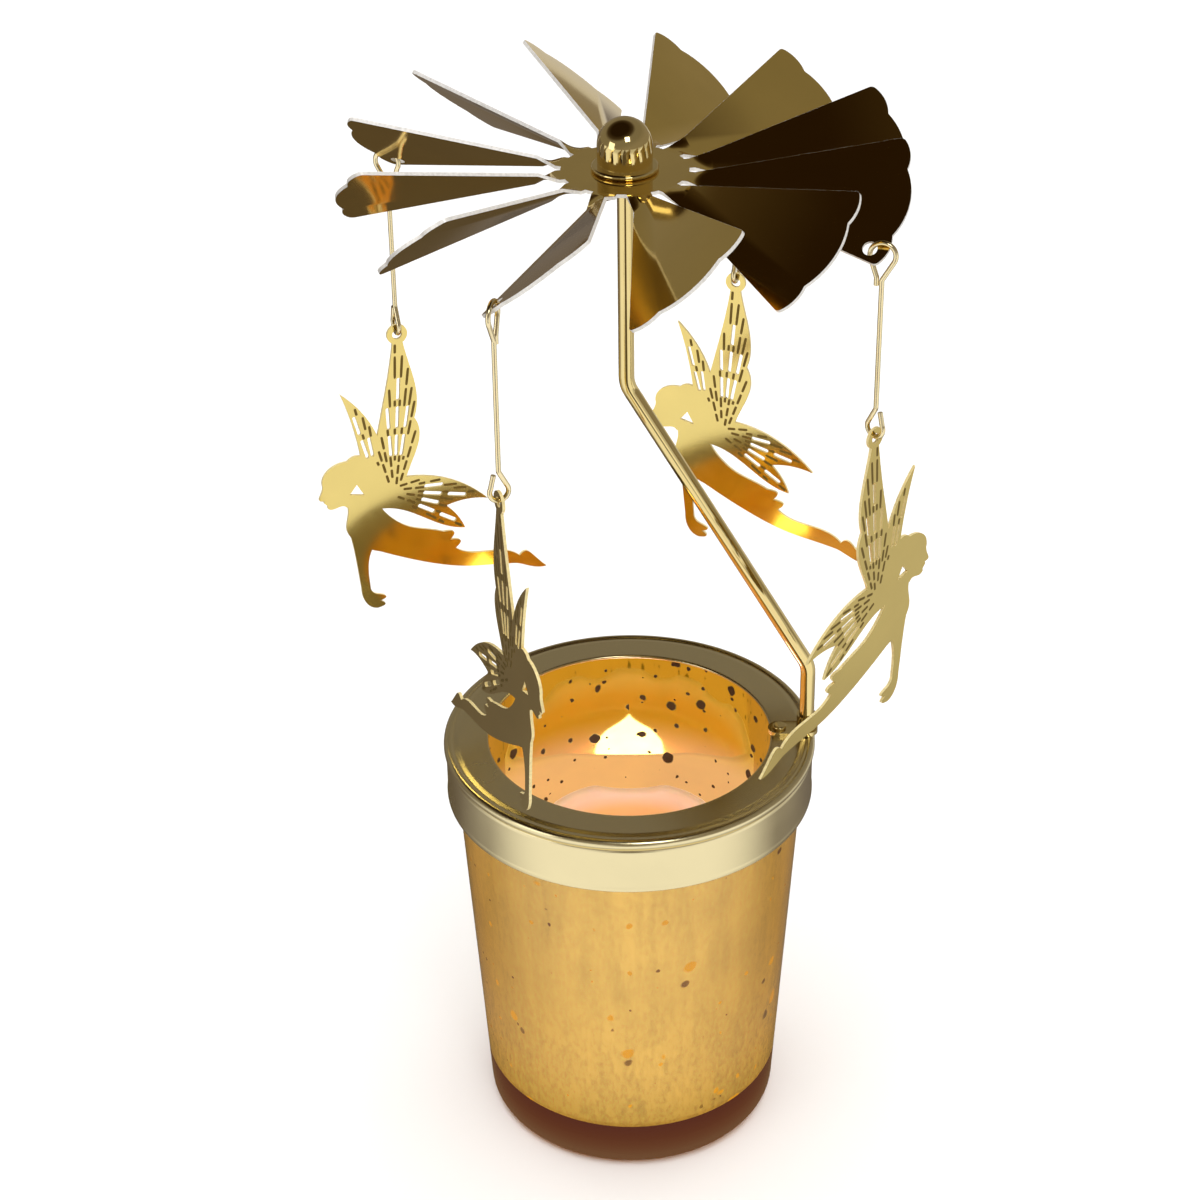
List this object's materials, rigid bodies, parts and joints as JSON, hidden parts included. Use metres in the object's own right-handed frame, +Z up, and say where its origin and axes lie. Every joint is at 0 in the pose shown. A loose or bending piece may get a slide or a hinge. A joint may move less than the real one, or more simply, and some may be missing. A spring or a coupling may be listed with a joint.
{
  "type": "candle carousel",
  "caption": "Candle carousel: a mirrored glass votive cup whose lift-off collar and bent arm carry a bladed wheel that turns on a needle and hangs flat fairies on wires.",
  "frame": {"origin": "middle of the cup's flat base", "axes": "+Z up along the cup's and the wheel's axis, +X towards the support arm's foot"},
  "size_m": [0.1074, 0.1021, 0.2003],
  "materials": {
    "polished_gold": "mirror-polished pale gold plating",
    "mirrored_glass": "clear glass, mirrored gold inside with fine speckles",
    "needle_steel": "hardened and polished",
    "turned_brass": "turned, satin",
    "candle_ivory": "wax-like, satin",
    "flame_plastic": "translucent, frosted",
    "lamp_plastic": "clear lens",
    "works_plastic": "moulded, satin",
    "board_green": "lacquered board",
    "cell_metal": "satin plated",
    "switch_black": "moulded, satin"
  },
  "bodies": {
    "cup": {"glass_cup": "mirrored_glass"},
    "collar": {"collar": "polished_gold", "arm_foot": "polished_gold", "foot_rivet": "polished_gold", "support_arm": "polished_gold", "pivot_needle": "needle_steel"},
    "wheel": {"fan_wheel": "polished_gold", "hub_cap": "polished_gold", "hub_bush": "turned_brass", "pivot_seat": "needle_steel"},
    "candle": {"candle_shell": "candle_ivory", "candle_flame": "flame_plastic", "led_lamp": "lamp_plastic", "lamp_holder": "works_plastic", "circuit_board": "board_green", "candle_base": "works_plastic", "coin_cell": "cell_metal"},
    "battery_cover": {"battery_cover": "works_plastic"},
    "power_switch": {"power_switch": "switch_black"},
    "hanger_1": {"hanger_1": "polished_gold"},
    "fairy_1": {"fairy_1": "polished_gold"},
    "hanger_2": {"hanger_2": "polished_gold"},
    "fairy_2": {"fairy_2": "polished_gold"},
    "hanger_3": {"hanger_3": "polished_gold"},
    "fairy_3": {"fairy_3": "polished_gold"},
    "hanger_4": {"hanger_4": "polished_gold"},
    "fairy_4": {"fairy_4": "polished_gold"}
  },
  "joints": [
    {"name": "collar_lift", "type": "slide", "parent": "cup", "child": "collar", "axis": [0, 0, 1], "range_m": [0, 0.06]},
    {"name": "wheel_spin", "type": "hinge", "parent": "collar", "child": "wheel", "pos_m": [0, 0, 0.19735], "axis": [0, 0, 1], "continuous": true},
    {"name": "candle_lift", "type": "slide", "parent": "cup", "child": "candle", "axis": [0, 0, 1], "range_m": [0, 0.05]},
    {"name": "cover_turn", "type": "hinge", "parent": "candle", "child": "battery_cover", "pos_m": [0, 0.00303, 0.0087], "axis": [0, 0, 1], "range_deg": [0, 25]},
    {"name": "switch_slide", "type": "slide", "parent": "candle", "child": "power_switch", "axis": [-1, 0, 0], "range_m": [0, 0.003]},
    {"name": "hanger_1_swing", "type": "hinge", "parent": "wheel", "child": "hanger_1", "pos_m": [0.04043, -0.02006, 0.18492], "axis": [-0.309, -0.9511, 0], "range_deg": [-6, 25]},
    {"name": "fairy_1_twist", "type": "hinge", "parent": "hanger_1", "child": "fairy_1", "pos_m": [0.04043, -0.02006, 0.15442], "axis": [0, 0, 1], "range_deg": [-30, 30]},
    {"name": "hanger_2_swing", "type": "hinge", "parent": "wheel", "child": "hanger_2", "pos_m": [0.02006, 0.04043, 0.18492], "axis": [0.9511, -0.309, 0], "range_deg": [-6, 25]},
    {"name": "fairy_2_twist", "type": "hinge", "parent": "hanger_2", "child": "fairy_2", "pos_m": [0.02006, 0.04043, 0.15442], "axis": [0, 0, 1], "range_deg": [-30, 30]},
    {"name": "hanger_3_swing", "type": "hinge", "parent": "wheel", "child": "hanger_3", "pos_m": [-0.04043, 0.02006, 0.18492], "axis": [0.309, 0.9511, 0], "range_deg": [-6, 25]},
    {"name": "fairy_3_twist", "type": "hinge", "parent": "hanger_3", "child": "fairy_3", "pos_m": [-0.04043, 0.02006, 0.15442], "axis": [0, 0, 1], "range_deg": [-30, 30]},
    {"name": "hanger_4_swing", "type": "hinge", "parent": "wheel", "child": "hanger_4", "pos_m": [-0.02006, -0.04043, 0.18492], "axis": [-0.9511, 0.309, 0], "range_deg": [-6, 25]},
    {"name": "fairy_4_twist", "type": "hinge", "parent": "hanger_4", "child": "fairy_4", "pos_m": [-0.02006, -0.04043, 0.15442], "axis": [0, 0, 1], "range_deg": [-30, 30]}
  ]
}
